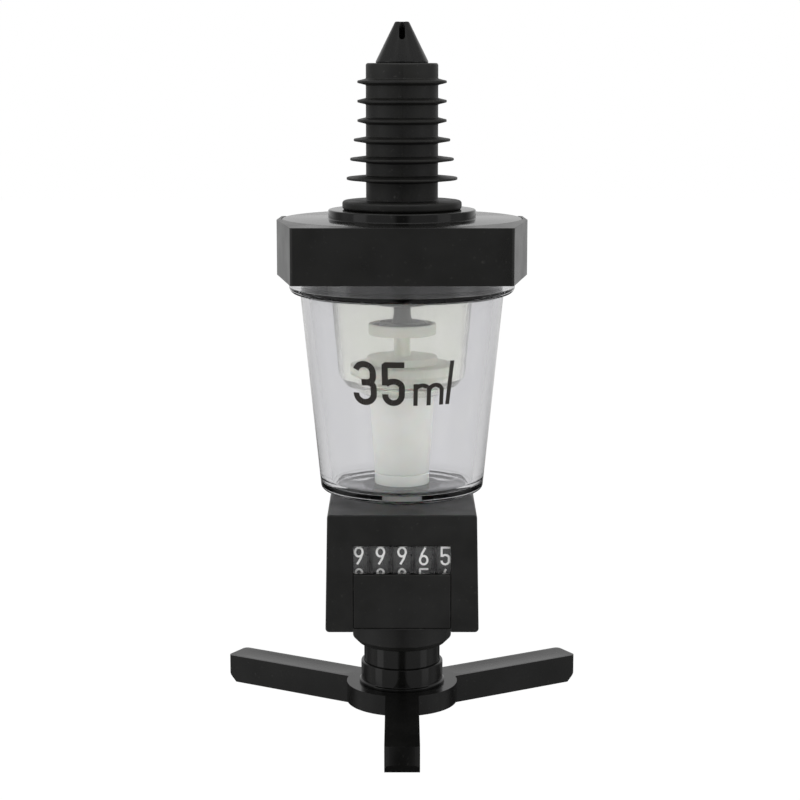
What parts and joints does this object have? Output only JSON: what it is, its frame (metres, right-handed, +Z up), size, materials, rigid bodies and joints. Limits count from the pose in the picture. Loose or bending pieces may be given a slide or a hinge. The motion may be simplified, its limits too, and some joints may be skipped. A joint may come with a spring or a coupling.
{
  "type": "liquor optic dispenser",
  "caption": "Bar optic that hangs under an inverted bottle and pours one fixed measure when a glass lifts its lever; a counter in the housing logs each pour.",
  "frame": {"origin": "on the optic's axis at the top of the rubber bung's flange, where the bottle's mouth rests", "axes": "+Z up the axis into the bottle, -Y the front with the counter's window, +X to the viewer's right"},
  "size_m": [0.0824, 0.0717, 0.1588],
  "materials": {
    "gloss_black": "glossy",
    "satin_black": "satin",
    "black_rubber": "matte",
    "clear_plastic": "clear",
    "natural_plastic": "satin",
    "wheel_black": "satin",
    "steel": "bright"
  },
  "bodies": {
    "optic": {"inlet_tube": "gloss_black", "bottle_bung": "black_rubber", "lid": "gloss_black", "lid_gasket": "black_rubber", "lid_skirt": "natural_plastic", "name_bezel": "gloss_black", "measuring_chamber": "clear_plastic", "outlet_pipe": "natural_plastic", "foot_gasket": "black_rubber", "clamp_nut": "satin_black", "counter_housing": "satin_black", "back_cover": "satin_black", "cover_screws": "steel", "counter_window": "clear_plastic", "counter_panel": "satin_black", "guide_neck": "satin_black", "spring_washer": "steel", "pipe_clip": "steel", "return_spring": "steel", "counter_frame": "steel", "wheel_axle": "steel", "pinion_shaft": "steel", "shaft_clips": "steel"},
    "lever": {"valve_stem": "natural_plastic", "upper_valve_cup": "natural_plastic", "upper_valve_washer": "black_rubber", "washer_retainer": "black_rubber", "sleeve_cap": "natural_plastic", "valve_sleeve": "natural_plastic", "lower_seal": "black_rubber", "sliding_sleeve": "gloss_black", "sleeve_collar": "gloss_black", "lever_bar": "gloss_black", "spout": "gloss_black", "striker": "steel"},
    "rocker": {"drive_rocker": "steel", "drive_pawl": "steel"},
    "wheel_1": {"digit_wheel_1": "wheel_black"},
    "wheel_2": {"digit_wheel_2": "wheel_black"},
    "wheel_3": {"digit_wheel_3": "wheel_black"},
    "wheel_4": {"digit_wheel_4": "wheel_black"},
    "wheel_5": {"digit_wheel_5": "wheel_black"},
    "pinion_1": {"carry_pinion_1": "natural_plastic"},
    "pinion_2": {"carry_pinion_2": "natural_plastic"},
    "pinion_3": {"carry_pinion_3": "natural_plastic"},
    "pinion_4": {"carry_pinion_4": "natural_plastic"}
  },
  "joints": [
    {"name": "lever_lift", "type": "slide", "parent": "optic", "child": "lever", "axis": [0, 0, 1], "range_m": [0, 0.0035], "stiffness_N_per_m": 600, "springref_m": -0.009, "deforming": ["return_spring"]},
    {"name": "rocker_turn", "type": "hinge", "parent": "optic", "child": "rocker", "pos_m": [0, -0.0133, -0.0751], "axis": [1, 0, 0], "range_deg": [0, 36.42]},
    {"name": "wheel_1_turn", "type": "hinge", "parent": "optic", "child": "wheel_1", "pos_m": [0, -0.0133, -0.0751], "axis": [1, 0, 0], "continuous": true},
    {"name": "wheel_2_turn", "type": "hinge", "parent": "optic", "child": "wheel_2", "pos_m": [0, -0.0133, -0.0751], "axis": [1, 0, 0], "continuous": true},
    {"name": "wheel_3_turn", "type": "hinge", "parent": "optic", "child": "wheel_3", "pos_m": [0, -0.0133, -0.0751], "axis": [1, 0, 0], "continuous": true},
    {"name": "wheel_4_turn", "type": "hinge", "parent": "optic", "child": "wheel_4", "pos_m": [0, -0.0133, -0.0751], "axis": [1, 0, 0], "continuous": true},
    {"name": "wheel_5_turn", "type": "hinge", "parent": "optic", "child": "wheel_5", "pos_m": [0, -0.0133, -0.0751], "axis": [1, 0, 0], "continuous": true},
    {"name": "pinion_1_turn", "type": "hinge", "parent": "optic", "child": "pinion_1", "pos_m": [0, -0.0133, -0.0836], "axis": [1, 0, 0], "continuous": true},
    {"name": "pinion_2_turn", "type": "hinge", "parent": "optic", "child": "pinion_2", "pos_m": [0, -0.0133, -0.0836], "axis": [1, 0, 0], "continuous": true},
    {"name": "pinion_3_turn", "type": "hinge", "parent": "optic", "child": "pinion_3", "pos_m": [0, -0.0133, -0.0836], "axis": [1, 0, 0], "continuous": true},
    {"name": "pinion_4_turn", "type": "hinge", "parent": "optic", "child": "pinion_4", "pos_m": [0, -0.0133, -0.0836], "axis": [1, 0, 0], "continuous": true}
  ],
  "couplings": [
    {"joint": "rocker_turn", "follows": "lever_lift", "rad_per_m": 181.52},
    {"joint": "wheel_2_turn", "follows": "wheel_1_turn", "ratio": 0.1},
    {"joint": "wheel_3_turn", "follows": "wheel_1_turn", "ratio": 0.01},
    {"joint": "wheel_4_turn", "follows": "wheel_1_turn", "ratio": 0.001},
    {"joint": "wheel_5_turn", "follows": "wheel_1_turn", "ratio": 0.0001},
    {"joint": "pinion_1_turn", "follows": "wheel_1_turn", "ratio": -0.25},
    {"joint": "pinion_2_turn", "follows": "wheel_1_turn", "ratio": -0.025},
    {"joint": "pinion_3_turn", "follows": "wheel_1_turn", "ratio": -0.0025},
    {"joint": "pinion_4_turn", "follows": "wheel_1_turn", "ratio": -0.00025}
  ]
}
